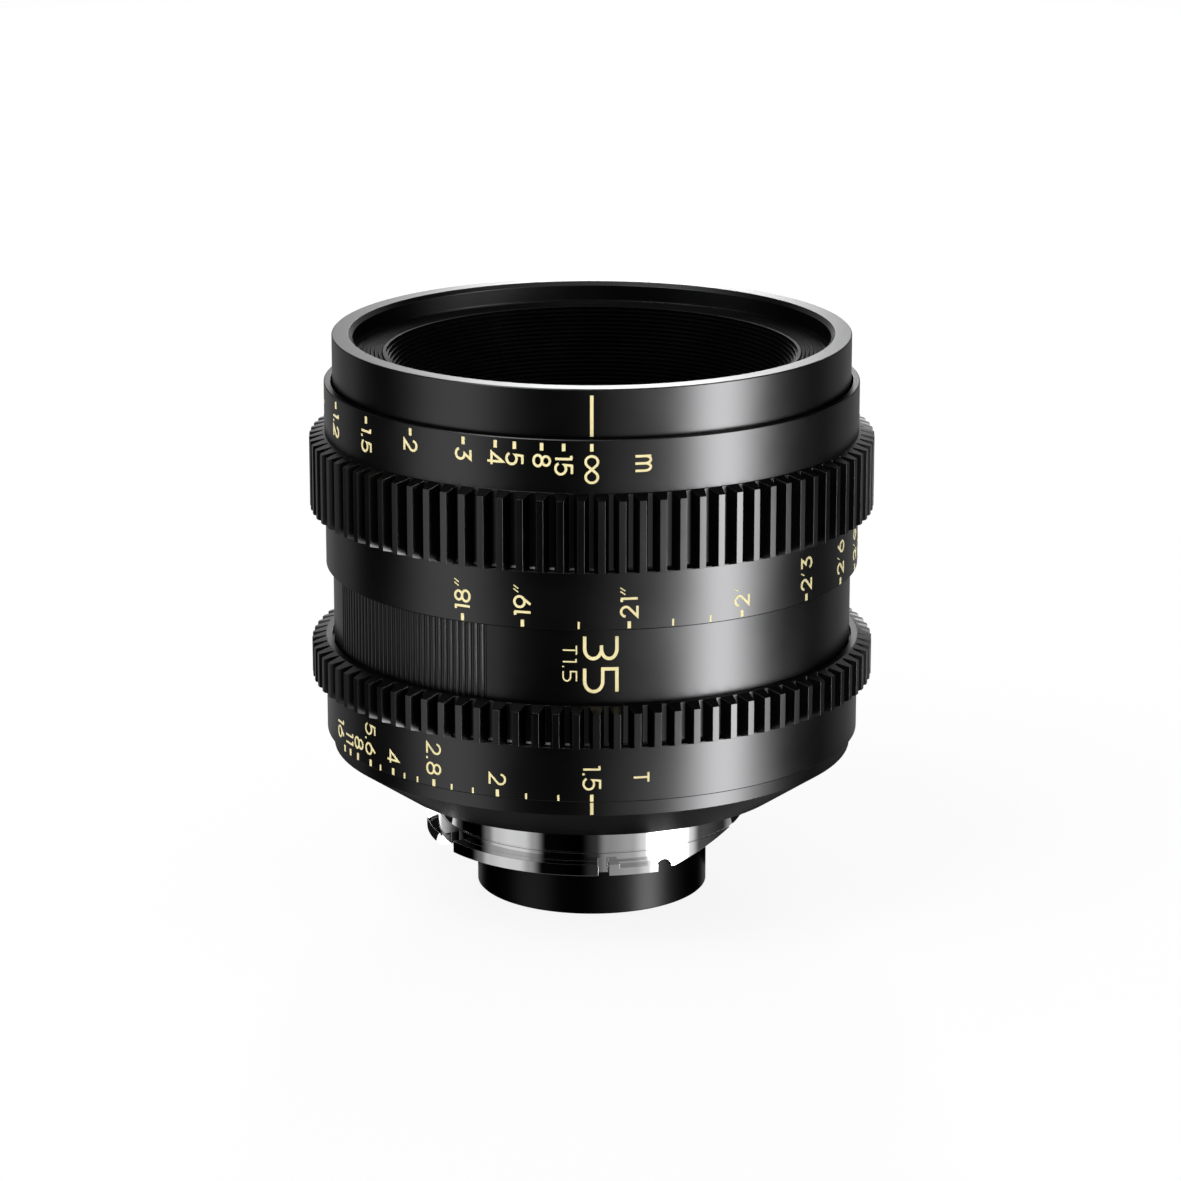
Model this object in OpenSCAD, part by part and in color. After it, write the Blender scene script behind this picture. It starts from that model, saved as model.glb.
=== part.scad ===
// Cinema prime lens with a geared focus ring, a geared iris ring and a bayonet mount.
// Millimetres. The origin is the centre of the mount's register face, +Z points to the front.
// Angles called mark angles run from the front index line at -Y and grow towards +X.

/* [Heights, from the mount upwards] */
// Height of the rear cone
rear_cone_h = 5.35; // [4.6:0.05:6.4]
// Height of the straight ring above the rear cone
rear_ring_h = 1.97; // [1.5:0.01:3]
// Height of the smooth part of the iris ring
iris_skirt_h = 7.08; // [6.6:0.02:9]
// Height of the iris ring's gear
iris_gear_h = 5.6; // [4.5:0.1:7]
// Visible height of the centre barrel
centre_h = 9.75; // [8.5:0.05:13]
// Height of the smooth part of the focus ring below its gear
focus_lower_h = 7.3; // [6:0.1:10]
// Height of the focus ring's gear
focus_gear_h = 10.26; // [9:0.02:13]
// Height of the smooth part of the focus ring above its gear
focus_upper_h = 6.76; // [6:0.02:9]
// Height of the front ring that shows above the focus ring
front_h = 6.13; // [5.2:0.01:8]
// Reach of the rear tube below the mount's register face
guard_reach = 14.42; // [13.6:0.02:18]

/* [Barrel walls, from the inside out] */
// Outer radius of the sliding optical block
guide_r = 29; // [28.6:0.1:30]
// Wall of the main barrel where the cam sleeve turns on it
barrel_wall = 2.15; // [1.8:0.05:2.6]
// Step from the focus journal out to the iris journal
iris_journal_step = 0.6; // [0.4:0.05:0.8]
// Step from the iris journal out to the shoulder under the centre sleeve
shoulder_step = 1; // [0.8:0.05:1.1]
// Wall of the cam sleeve
cam_wall = 1.75; // [1.65:0.05:2.2]
// Wall of the focus ring around the cam sleeve
focus_wall = 1.75; // [1.65:0.05:2.2]
// Wall of the focus ring's thin upper lip
upper_lip_wall = 0.85; // [0.7:0.05:1.05]
// Wall of the focus ring's thin lower lip
lower_lip_wall = 0.66; // [0.5:0.02:0.8]
// Wall of the iris ring
iris_wall = 3.1; // [2.9:0.05:3.6]

/* [Gears] */
// Module of both gears
gear_module = 0.8; // [0.6:0.1:1]
// Width of a tooth's top land
tooth_land = 0.86; // [0.6:0.02:1]
// Drop of the bevel at each end of a tooth
gear_bevel = 0.56; // [0.3:0.02:0.8]
// Radius of the run-out at the lower end of each gap
gear_runout = 0.6; // [0.3:0.05:0.7]
// Mark angle of one tooth of the focus gear
focus_gear_phase = 1.93; // [0:0.01:4]
// Mark angle of one tooth of the iris gear
iris_gear_phase = 0.97; // [0:0.01:4]

/* [Front ring and baffle] */
// Radius of the filter bore
filter_r = 31; // [30.6:0.05:31.6]
// Wall of the front ring around the filter bore
front_wall = 2.7; // [2.2:0.05:3.2]
// Length of the filter bore below its chamfer
filter_depth = 2.05; // [1.6:0.05:2.6]
// Width of the chamfer at the mouth of the filter bore
mouth_chamfer = 0.55; // [0.5:0.05:1.1]
// Depth of the chamfer at the mouth of the filter bore
mouth_chamfer_h = 0.5; // [0.4:0.05:1]
// Width of the ledge around the ridged cone
ledge_w = 4.3; // [3.6:0.1:5]
// Height of one anti-reflection ridge
ridge_pitch = 0.515; // [0.45:0.005:0.8]
// Depth of the anti-reflection ridges
ridge_depth = 0.22; // [0.12:0.02:0.3]
// Half angle of the ridged cone
baffle_taper = 26.8; // [20:0.2:28]
// Wall of the ridged cone
baffle_wall = 1.1; // [0.8:0.1:1.5]

/* [Ribbed grip on the centre barrel] */
// Mark angle of the first groove
rib_start = -23.4; // [-30:0.1:-20]
// Mark angle of the last groove
rib_end = -72; // [-80:0.1:-60]
// Angle from groove to groove
rib_pitch = 1.5; // [1.4:0.1:3]
// Radius of one groove
rib_groove_r = 0.34; // [0.2:0.02:0.4]

/* [Rear barrel and mount] */
// Step from the iris ring in to the rear barrel's straight ring
rear_ring_step = 0.89; // [0.4:0.01:1.4]
// Width of the rear cone's lip around the mount's flange
cone_lip = 0.99; // [0.8:0.01:2]
// Outer radius of the mount's flange
flange_r = 25.2; // [24.9:0.05:25.5]
// Thickness of the mount's flange
flange_t = 1.6; // [1.4:0.05:2]
// Outer radius of the bayonet tube
bayonet_r = 20.4; // [20:0.05:20.6]
// Wall of the bayonet tube
bayonet_wall = 1.5; // [1.2:0.05:1.8]
// Radius over the bayonet lugs
lug_r = 21.95; // [21.5:0.05:22.1]
// Reach of the bayonet tube below the register face
bayonet_reach = 6.95; // [6.5:0.05:8]
// Thickness of the bayonet lugs
lug_t = 1.5; // [1.2:0.05:1.8]
// Outer radius of the rear tube
guard_r = 15.21; // [14.8:0.01:15.8]
// Wall of the rear tube
guard_wall = 1; // [0.8:0.05:1.2]

/* [Focus drive] */
// Turn of the focus ring from the far stop to the near stop
focus_throw = 210; // [120:5:260]
// Lift of the optical block in one full turn of the focus ring
cam_lead = 5.4; // [4.6:0.1:6]
// Radius of the cam followers
follower_r = 0.7; // [0.5:0.05:0.8]

/* [Iris drive] */
// Turn of the iris ring from wide open to its smallest stop
iris_throw = 66; // [50:1:75]
// Turn of one blade for each degree of the iris ring
blade_ratio = 0.585; // [0.5:0.005:0.62]
// Radius of the open aperture
aperture_r = 12.7; // [12.2:0.1:13.2]
// Width of an iris blade
blade_w = 4.1; // [3.6:0.1:4.4]
// Thickness of an iris blade
blade_t = 0.12; // [0.08:0.01:0.2]
// Distance from a blade's pivot to its drive pin
blade_arm = 4.2; // [4:0.1:4.5]
// Height of the iris plane above the register face
stop_z = 14.4; // [13.8:0.1:15]

/* [Glass] */
// Radius of the front element
front_glass_r = 20; // [19.6:0.1:20.6]
// Radius of the second element
second_glass_r = 18.5; // [18:0.1:18.8]
// Radius of the front doublet
doublet_r = 16.5; // [16:0.1:16.8]
// Radius of the rear elements
rear_glass_r = 11.5; // [11.2:0.1:11.7]

/* [Clearances] */
// Radial clearance of turning and sliding fits
running = 0.05; // [0.03:0.01:0.08]
// Gap between a ring's lip and the barrel inside it
lip_gap = 0.25; // [0.15:0.05:0.35]
// Axial gap beside a slip ring
slip_gap = 0.05; // [0.03:0.01:0.1]
// Axial gap where two visible rings meet
seam_gap = 0.06; // [0.04:0.01:0.15]

/* [Hidden] */
BLADE_NAMES = [for (i = [1:10]) str("iris_blade_", i)];
ELEMENT_NAMES = [for (i = [1:9]) str("element_", i)];
$fn = 128;

// Small overlap that makes one solid of two shapes
weld = 0.4;
// How far a cut runs past the solid that it cuts
beyond = 1;
// Size of a broken edge
edge = 0.12;

// Heights of the seams between the visible rings
rear_ring_z = rear_cone_h;
iris_z = rear_ring_z + rear_ring_h;
iris_gear_z = iris_z + iris_skirt_h;
centre_z = iris_gear_z + iris_gear_h;
focus_z = centre_z + centre_h;
focus_gear_z = focus_z + focus_lower_h;
focus_gear_top = focus_gear_z + focus_gear_h;
focus_top = focus_gear_top + focus_upper_h;
front_z = focus_top + front_h;

// Radii of the barrel, from the inside out
barrel_bore = guide_r + running;
// Width that a wide front ring leaves over, shared by the main barrel and the cam sleeve
spare_wall = max(0, filter_r + front_wall + lip_gap + upper_lip_wall
                    - barrel_bore - barrel_wall - cam_wall - focus_wall - 2 * running);
half_spare = spare_wall / 2;
journal_r = barrel_bore + barrel_wall + half_spare;
sleeve_bore = journal_r + running;
cam_r = sleeve_bore + cam_wall + half_spare;
focus_bore = cam_r + running;
focus_r = focus_bore + focus_wall;
upper_lip_r = focus_r - upper_lip_wall;
front_r = upper_lip_r - lip_gap;
lower_lip_r = focus_r - lower_lip_wall;
centre_r = lower_lip_r - lip_gap;
iris_journal_r = journal_r + iris_journal_step;
iris_bore = iris_journal_r + running;
shoulder_r = iris_journal_r + shoulder_step + half_spare;
centre_bore = shoulder_r + running;
iris_lip_r = centre_r + lip_gap;
iris_r = iris_bore + iris_wall + half_spare;
rear_ring_r = iris_r - rear_ring_step;
cone_end_r = flange_r + running + cone_lip;

// Gear sizes: the least number of teeth whose roots clear the ring
root_step = 0.03;
tooth_depth = 2.25 * gear_module;
flank_angle = 17;
function gear_teeth(ring_r) = ceil(2 * (ring_r + root_step) / gear_module + 2.5);
function gear_tip_r(ring_r) = gear_module * (gear_teeth(ring_r) + 2) / 2;
function gear_root_r(ring_r) = gear_tip_r(ring_r) - tooth_depth;

// Focus drive heights
slip_t = 0.8;
shoulder_top = focus_z + lip_gap;
cam_z = shoulder_top + slip_t + 2 * slip_gap;
lip_depth = 1.45;
flange_depth = 1.6;
flange_drop = 0.31;
focus_flange_top = focus_gear_top - flange_drop;
cam_top = focus_flange_top - flange_depth;
front_ring_z = focus_flange_top + slip_t + 2 * slip_gap;
socket_h = 3.1;
front_relief = 0.1;
barrel_top = front_ring_z + socket_h;
lift = cam_lead * focus_throw / 360;
follower_z = (cam_z + cam_top) / 2 - lift / 2;
slot_half = follower_r + running;
slot_margin_deg = 3;
set_screw_count = 3;
set_screw_r = 0.8;
set_screw_turn = 30;
focus_screw_count = 6;
focus_screw_r = 0.4;
focus_screw_turn = 15;
focus_screw_l = 3.4;
focus_head_r = 0.6;
focus_head_h = 0.6;
focus_head_sink = 0.75;

// Rear heights
recess_depth = 1.72;
barrel_z = iris_z - recess_depth;
foot_t = 1.6;
foot_step = 1.2;
foot_bore = bayonet_r + foot_step;
cone_lift = 0.15;
iris_ring_z = iris_z + seam_gap;
sleeve_lip_t = 0.7;
sleeve_z = centre_z - sleeve_lip_t;
iris_slip_t = 0.22;
iris_counterbore_z = sleeve_z - iris_slip_t - 2 * slip_gap;

// Mount details
relief_w = 0.35;
relief_r = lug_r + relief_w;
relief_depth = 0.3;
mount_screw_pcr = (relief_r + flange_r) / 2;
mount_screw_count = 4;
mount_screw_r = 0.6;
mount_screw_l = 2.8;
mount_head_r = 1;
mount_head_h = 0.72;
mount_head_z = flange_t / 2;
barrel_screw_pcr = (foot_bore + flange_r) / 2;
barrel_screw_count = 4;
barrel_screw_r = 0.9;
barrel_screw_stop = 0.5;
barrel_screw_reach = foot_t - barrel_screw_stop;
barrel_head_r = 1.6;
barrel_head_h = 1.3;
barrel_head_clear = 0.2;
barrel_head_z = flange_t + barrel_head_h + barrel_head_clear;
guard_shoulder_z = -3.4;
guard_shoulder_w = 1.5;
guard_shoulder_r = bayonet_r - bayonet_wall - guard_shoulder_w;
guard_flange_t = 1.5;
guard_neck_wall = 1.5;
guard_neck_drop = 1;
guard_neck_top = flange_t - guard_neck_drop;
guard_floor_step = 0.3;
guard_floor_z = guard_shoulder_z - guard_floor_step;
bead_r = 1.1;
bead_inset = 0.25;
bead_mark = 80;
// Mark angles where each lug starts and ends
LUGS = [[-55.6, 23], [-128, -64.7], [105, 172]];
// Mark angles of the lock slot and of the stepped relief in the front lug
LOCK_SLOT = [2.2, 5.9];
LUG_RELIEF = [9.5, 24];
lock_slot_depth = 0.3;
lug_relief_out = 0.6;
lug_relief_h = 0.5;
// Clearance for the camera's coupling roller: a wide shallow arch in the tube's lower edge
ROLLER_ARCH = [30, 100];
roller_mark = 80;
roller_arch_r = 38.8;
roller_arch_top = 3.85;
notch_mark = 27.2;
notch_r = 1.15;
groove_lift = 1;
groove_depth = 0.15;
groove_h = 0.2;

// Iris stack
blade_count = 10;
blade_gap = 0.1;
blade_pitch = blade_t + blade_gap;
blade_span = 100;
blade_root = 5;
pin_r = 0.45;
drive_pin_r = 0.35;
pin_gap = 0.15;
pivot_r = aperture_r + blade_w + pin_gap + pin_r;
arm_start = 40;
plate_t = 1;
plate_z = stop_z - plate_t;
plate_lip = 0.2;
plate_bore = rear_glass_r - plate_lip;
blades_top = stop_z + blade_gap + blade_count * blade_pitch;
drive_gap = 0.3;
drive_t = 1.5;
drive_z = blades_top + drive_gap;
drive_top = drive_z + drive_t;
drive_inset = 1.3;
drive_bore = aperture_r + drive_inset;
slot_wall = 0.8;
drive_r = norm([pivot_r + blade_arm * cos(arm_start), blade_arm * sin(arm_start)])
    + drive_pin_r + slot_wall;
pillar_r = 1.2;
pillar_gap = 0.2;
// Turns of the pillars from the drive ring's tail
PILLAR_TURNS = [-60, -140, -220];
pillar_pcr = drive_r + pillar_gap + pillar_r;
plate_r = pillar_pcr + pillar_r;
iris_pin_r = 0.6;
iris_pin_lift = 5.1;
iris_pin_z = iris_z + iris_pin_lift;
iris_pin_angle = 60;
iris_slot_margin = 1.5;
tail_w = 3.2;
tail_gap = 0.7;
tail_t = 1.8;
tail_in_r = plate_r + tail_gap;
tail_out_r = tail_in_r + tail_t;
tail_z = iris_pin_z - lift - 2 * iris_pin_r;

// Cells
cell_z = drive_top + drive_gap;
cell_lip_h = 2.5;
cell_wall = 2.4;
cell_r = front_glass_r + cell_wall;
doublet_lip = 1.7;
cell_lip_r = doublet_r - doublet_lip;
guide_wall = 1.4;
guide_below = 9;
guide_above = 5;
web_t = 2.5;
web_drop = 2;
retainer_t = 2.35;
retainer_lip = 0.7;
retainer_edge = 1;
rear_cell_wall = 1.9;
rear_cell_r = rear_glass_r + rear_cell_wall;
rear_cell_z = plate_z - 2.226 * rear_glass_r;
rear_flange_w = 4.2;
rear_flange_r = rear_cell_r + rear_flange_w;
rear_flange_t = 1.4;
rear_recess = 0.6;
rear_lip = 1.1;
spacer_w = 0.9;
cement = 0.02;
seat = 0.03;

// Heights of the front vertices of the front group, stacked from its lip
air_gap = 0.8;
cell_drop = 0.8;
doublet_rear_z = cell_z + cell_lip_h + 0.344 * doublet_r;
doublet_front_z = doublet_rear_z + cement + 0.388 * doublet_r;
second_z = doublet_front_z + air_gap + 0.324 * second_glass_r;
front_vertex_z = second_z + air_gap + 0.13 * front_glass_r;
cell_top = front_vertex_z - cell_drop;

// Front baffle heights
ledge_z = front_z - mouth_chamfer_h - filter_depth;
baffle_flange_t = 1.2;
baffle_step = 0.5;
baffle_r = filter_r - baffle_step - running;
baffle_lip_r = filter_r - ledge_w;
baffle_shoulder = 0.7;
baffle_cone_r = baffle_lip_r + baffle_wall;
baffle_seat_r = max(min(baffle_r - baffle_shoulder, barrel_bore + baffle_shoulder),
                    baffle_cone_r + lip_gap);
baffle_gap = 0.65;
baffle_end_z = cell_top + lift + baffle_gap;
ridge_count = floor((ledge_z - baffle_end_z) / ridge_pitch);
ledge_ridge_count = floor((baffle_r - baffle_lip_r - ridge_pitch) / ridge_pitch);

// Lens surfaces: vertex height, centre thickness, front and rear curvature radius, edge radius.
// A positive radius bulges to the front. Each element is drawn in units of its own edge radius.
fu = front_glass_r;
su = second_glass_r;
du = doublet_r;
ru = rear_glass_r;
ELEMENTS = [
    [front_vertex_z, 0.13 * fu, 2.75 * fu, 2.25 * fu, fu],
    [second_z, 0.324 * su, 2.6 * su, -6.5 * su, su],
    [doublet_front_z, 0.388 * du, 2.42 * du, -3.64 * du, du],
    [doublet_rear_z, 0.097 * du, -3.64 * du, 2.18 * du, du],
    [plate_z - 0.2 * ru, 0.13 * ru, -2.8 * ru, 4.3 * ru, ru],
    [plate_z - 0.33 * ru - cement, 0.38 * ru, 4.3 * ru, -3 * ru, ru],
    [plate_z - 0.775 * ru, 0.33 * ru, 6 * ru, -5.2 * ru, ru],
    [plate_z - 1.175 * ru, 0.31 * ru, 3.9 * ru, -7.8 * ru, ru],
    [plate_z - 1.87 * ru, 0.14 * ru, -3.5 * ru, -6.1 * ru, ru]];
function sag(curve, r) = curve - sign(curve) * sqrt(curve * curve - r * r);
function front_face(i, r) = ELEMENTS[i][0] - sag(ELEMENTS[i][2], r);
function rear_face(i, r) = ELEMENTS[i][0] - ELEMENTS[i][1] - sag(ELEMENTS[i][3], r);
function glass_r(i) = ELEMENTS[i][4];

anodised = [0.09, 0.09, 0.1];
flock = [0.05, 0.05, 0.05];
bronze = [0.62, 0.47, 0.25];
steel = [0.6, 0.6, 0.62];
chrome = [0.82, 0.82, 0.83];
glass = [0.55, 0.68, 0.75, 0.45];
blade_black = [0.14, 0.14, 0.15];

// Turns a shape built along +X to a mark angle
module at_mark(mark) {
    rotate([0, 0, mark - 90]) children();
}

module ring(inner, outer, bottom, height) {
    translate([0, 0, bottom])
        difference() {
            cylinder(r = outer, h = height);
            translate([0, 0, -beyond]) cylinder(r = inner, h = height + 2 * beyond);
        }
}

// Part of a ring between two mark angles
module ring_arc(inner, outer, bottom, height, start, end) {
    at_mark(start)
        rotate_extrude(angle = end - start)
            translate([inner, bottom]) square([outer - inner, height]);
}

// Repeats a shape evenly around the axis
module around(count, first = 0) {
    for (i = [0:count - 1])
        rotate([0, 0, first + 360 * i / count]) children();
}

module cap_screw(head_r, head_h, shank_r, length, slack = 0) {
    difference() {
        union() {
            cylinder(r = head_r + slack, h = head_h + (slack > 0 ? head_r : 0));
            translate([0, 0, -length]) cylinder(r = shank_r + slack, h = length + weld);
        }
        if (slack == 0)
            translate([-head_r, -head_r / 8, head_h * 0.55])
                cube([2 * head_r, head_r / 4, head_h]);
    }
}

// Gaps between straight-flanked teeth, open at the top
module gear_gaps(ring_r, bottom, top, phase) {
    count = gear_teeth(ring_r);
    root = gear_root_r(ring_r);
    tip = gear_tip_r(ring_r);
    pitch_at_tip = 2 * PI * tip / count;
    mouth = (pitch_at_tip - tooth_land) / 2;
    flank = tan(flank_angle);
    floor_half = mouth - flank * tooth_depth;
    at_mark(phase)
        around(count, 180 / count)
            translate([0, 0, bottom - beyond])
                linear_extrude(top - bottom + 2 * beyond)
                    polygon([[root, -floor_half], [tip + beyond, -mouth - flank * beyond],
                             [tip + beyond, mouth + flank * beyond], [root, floor_half]]);
}

// Ring that rounds off the lower end of the gaps
module gear_foot(ring_r, bottom) {
    root = gear_root_r(ring_r);
    slope = gear_bevel / (gear_tip_r(ring_r) - ring_r);
    out = root + gear_runout;
    foot = bottom + slope * (out - ring_r) + edge;
    rotate_extrude()
        polygon([[ring_r - weld, bottom + edge], [ring_r + edge, bottom + edge],
                 [out, foot - edge / 2], [out, foot],
                 [root + gear_runout / 3, foot + gear_runout / 3],
                 [root - edge, foot + gear_runout], [ring_r - weld, foot + gear_runout]]);
}

module front_ring() {
    color(anodised)
        difference() {
            rotate_extrude()
                polygon([
                    [sleeve_bore, front_ring_z], [front_r - front_relief, front_ring_z],
                    [front_r - front_relief, focus_top + edge], [front_r, focus_top + edge],
                    [front_r, front_z - edge], [front_r - edge, front_z],
                    [filter_r + mouth_chamfer, front_z], [filter_r, front_z - mouth_chamfer_h],
                    [filter_r, ledge_z], [filter_r - baffle_step, ledge_z],
                    [filter_r - baffle_step, ledge_z - baffle_flange_t],
                    [baffle_seat_r, ledge_z - baffle_flange_t],
                    [baffle_seat_r, barrel_top], [sleeve_bore, barrel_top]]);
            front_ring_screw_set(running);
        }
}

// Radial set screws under the focus ring's lip
module front_ring_screw_set(slack) {
    around(set_screw_count, set_screw_turn)
        translate([journal_r + seat, 0, front_ring_z + socket_h / 2])
            rotate([0, 90, 0])
                cylinder(r = set_screw_r + slack, h = front_r - journal_r - lip_gap);
}

module front_ring_screws() {
    color(steel) front_ring_screw_set(0);
}

// Ridged light trap: a flat ledge with ridges, then a ridged cone
module front_baffle() {
    drop = ridge_count * ridge_pitch;
    taper = tan(baffle_taper);
    cone_end_in = baffle_lip_r - drop * taper;
    ledge = [for (i = [0:ledge_ridge_count - 1], p = [0, 0.7, 1])
             [baffle_r - ridge_pitch * (0.5 + i + p), ledge_z - (p == 0.7 ? ridge_depth : 0)]];
    cone = [for (i = [0:ridge_count - 1], p = [0, 0.75])
            [baffle_lip_r - i * ridge_pitch * taper + (p == 0 ? 0 : ridge_depth),
             ledge_z - (i + p) * ridge_pitch]];
    color(flock)
        rotate_extrude()
            polygon(concat(
                [[baffle_r, ledge_z - baffle_flange_t], [baffle_r, ledge_z]],
                ledge, cone,
                [[cone_end_in, ledge_z - drop], [cone_end_in + baffle_wall, ledge_z - drop],
                 [baffle_cone_r, ledge_z - baffle_flange_t]]));
}

module main_barrel() {
    slot_w = 2 * slot_half;
    color(anodised)
        difference() {
            rotate_extrude()
                polygon([
                    [foot_bore, barrel_z], [iris_journal_r, barrel_z], [iris_journal_r, centre_z],
                    [shoulder_r, centre_z], [shoulder_r, shoulder_top], [journal_r, shoulder_top],
                    [journal_r, barrel_top], [barrel_bore, barrel_top],
                    [barrel_bore, barrel_z + foot_t], [foot_bore, barrel_z + foot_t]]);
            // straight slots that keep the optical block from turning
            around(2)
                translate([guide_r - beyond, -slot_half, follower_z - slot_w])
                    cube([journal_r - guide_r + 2 * beyond, slot_w, lift + 2 * slot_w]);
            // arc slot for the iris drive pin
            iris_slot();
            barrel_screw_set(running);
        }
}

module iris_slot() {
    margin = iris_slot_margin + asin(iris_pin_r / barrel_bore);
    rotate([0, 0, iris_pin_angle - margin])
        rotate_extrude(angle = iris_throw + 2 * margin)
            translate([barrel_bore - beyond, iris_pin_z - iris_pin_r - lip_gap])
                square([iris_journal_r - barrel_bore + 2 * beyond, 2 * (iris_pin_r + lip_gap)]);
}

module centre_sleeve() {
    color(anodised)
        difference() {
            rotate_extrude()
                polygon([
                    [iris_bore, sleeve_z], [centre_r, sleeve_z],
                    [centre_r, shoulder_top + slip_t - lip_gap],
                    [centre_bore, shoulder_top + slip_t - lip_gap],
                    [centre_bore, centre_z], [iris_bore, centre_z]]);
            for (mark = [rib_start:-rib_pitch:rib_end])
                at_mark(mark)
                    translate([centre_r + rib_groove_r / 4, 0, sleeve_z - beyond])
                        cylinder(r = rib_groove_r, h = focus_z - sleeve_z + slip_t + 2 * beyond,
                                 $fn = 24);
        }
}

module front_slip_ring() {
    color(bronze)
        ring(sleeve_bore + half_spare, front_r - lip_gap, focus_flange_top + slip_gap, slip_t);
}

module rear_slip_ring() {
    color(bronze)
        ring(sleeve_bore + half_spare, cam_r - lip_gap, shoulder_top + slip_gap, slip_t);
}

module iris_slip_ring() {
    color(bronze)
        ring(iris_bore + half_spare, centre_r - lip_gap, iris_counterbore_z + slip_gap, iris_slip_t);
}

module rear_barrel() {
    color(anodised)
        difference() {
            rotate_extrude()
                polygon([
                    [bayonet_r + running, flange_t], [flange_r + running, flange_t],
                    [flange_r + running, cone_lift], [cone_end_r, cone_lift],
                    [rear_ring_r, rear_ring_z], [rear_ring_r, iris_z - edge],
                    [rear_ring_r - edge, iris_z], [iris_bore, iris_z], [iris_bore, barrel_z],
                    [bayonet_r + running, barrel_z]]);
            barrel_screw_set(running);
            mount_screw_set(running);
            bead(running);
        }
}

// Screws from below, hidden by the mount's flange, that hold the two barrels together
module barrel_screw_set(slack) {
    around(barrel_screw_count, 45)
        translate([barrel_screw_pcr, 0, barrel_head_z])
            rotate([180, 0, 0])
                cap_screw(barrel_head_r, barrel_head_h, barrel_screw_r,
                          barrel_z + barrel_screw_reach - barrel_head_z, slack);
}

module barrel_screws() {
    color(steel) barrel_screw_set(0);
}

module bayonet_mount() {
    bore = bayonet_r - bayonet_wall;
    lug_top = lug_t + edge - bayonet_reach;
    color(chrome)
        difference() {
            union() {
                rotate_extrude()
                    polygon([
                        [bore, -bayonet_reach], [bayonet_r, -bayonet_reach],
                        [bayonet_r, relief_depth],
                        [relief_r, relief_depth], [relief_r, 0], [flange_r, 0],
                        [flange_r, flange_t], [guard_shoulder_r, flange_t],
                        [guard_shoulder_r, guard_shoulder_z], [bore, guard_shoulder_z]]);
                for (lug = LUGS)
                    ring_arc(bayonet_r - weld, lug_r, lug_top - lug_t, lug_t, lug[0], lug[1]);
            }
            // lock slot and stepped relief in the front lug
            ring_arc(bayonet_r - lock_slot_depth, lug_r + beyond, -bayonet_reach - beyond,
                     lug_t + beyond + lug_relief_h, LOCK_SLOT[0], LOCK_SLOT[1]);
            ring_arc(bayonet_r + lug_relief_out, lug_r + beyond, lug_top - lug_relief_h, lug_t,
                     LUG_RELIEF[0], LUG_RELIEF[1]);
            // half-round notch in the lower edge
            at_mark(notch_mark)
                translate([bore - beyond, 0, -bayonet_reach])
                    rotate([0, 90, 0]) cylinder(r = notch_r, h = bayonet_wall + 3 * beyond);
            intersection() {
                ring_arc(bore - beyond, bayonet_r + beyond, -bayonet_reach - beyond, bayonet_reach,
                         ROLLER_ARCH[0], ROLLER_ARCH[1]);
                at_mark(roller_mark)
                    translate([0, 0, -roller_arch_top - roller_arch_r])
                        rotate([0, 90, 0]) cylinder(r = roller_arch_r, h = bayonet_r + beyond);
            }
            // thin witness groove above the lugs
            ring(bayonet_r - groove_depth, bayonet_r + beyond, lug_top + groove_lift, groove_h);
            mount_screw_set(running);
        }
}

module mount_screw_set(slack) {
    around(mount_screw_count)
        translate([mount_screw_pcr, 0, mount_head_z])
            rotate([180, 0, 0])
                cap_screw(mount_head_r, mount_head_h, mount_screw_r, mount_screw_l, slack);
}

module mount_screws() {
    color(steel) mount_screw_set(0);
}

module rear_guard() {
    color(anodised)
        rotate_extrude()
            polygon([
                [guard_r - guard_wall, -guard_reach], [guard_r - edge, -guard_reach],
                [guard_r, edge - guard_reach], [guard_r, guard_shoulder_z - guard_flange_t],
                [bayonet_r - bayonet_wall - running, guard_shoulder_z - guard_flange_t],
                [bayonet_r - bayonet_wall - running, guard_shoulder_z],
                [guard_shoulder_r - running, guard_shoulder_z],
                [guard_shoulder_r - running, guard_neck_top],
                [guard_shoulder_r - guard_neck_wall, guard_neck_top],
                [guard_shoulder_r - guard_neck_wall, guard_floor_z],
                [guard_r - guard_wall, guard_floor_z]]);
}

// Round bead that shows where the lens meets its camera
module bead(slack) {
    slant = (rear_ring_z - cone_lift) / (rear_ring_r - cone_end_r);
    bead_out = bead_r + bead_inset;
    at_mark(bead_mark)
        translate([cone_end_r + bead_out, 0, cone_lift + slant * bead_out])
            sphere(r = bead_r + slack);
}

module alignment_bead() {
    color(flock) bead(0);
}

module focus_ring() {
    tip = gear_tip_r(focus_r);
    color(anodised)
        difference() {
            union() {
                difference() {
                    rotate_extrude()
                        polygon([
                            [lower_lip_r, focus_z], [focus_r - edge, focus_z],
                            [focus_r, focus_z + edge], [focus_r, focus_gear_z],
                            [tip, focus_gear_z + gear_bevel], [tip, focus_gear_top - gear_bevel],
                            [focus_r, focus_gear_top], [focus_r, focus_top - edge],
                            [focus_r - edge, focus_top], [upper_lip_r, focus_top],
                            [upper_lip_r, focus_flange_top], [sleeve_bore, focus_flange_top],
                            [sleeve_bore, cam_top], [focus_bore, cam_top],
                            [focus_bore, focus_z + lip_depth],
                            [lower_lip_r, focus_z + lip_depth]]);
                    gear_gaps(focus_r, focus_gear_z, focus_gear_top, focus_gear_phase);
                }
                gear_foot(focus_r, focus_gear_z);
            }
            focus_screw_set(running);
        }
}

// Screws down through the focus ring's inner flange into the cam sleeve
module focus_screw_set(slack) {
    around(focus_screw_count, focus_screw_turn)
        translate([(sleeve_bore + cam_r) / 2, 0, focus_flange_top - focus_head_sink])
            cap_screw(focus_head_r, focus_head_h, focus_screw_r, focus_screw_l, slack);
}

module focus_ring_screws() {
    color(steel) focus_screw_set(0);
}

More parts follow.
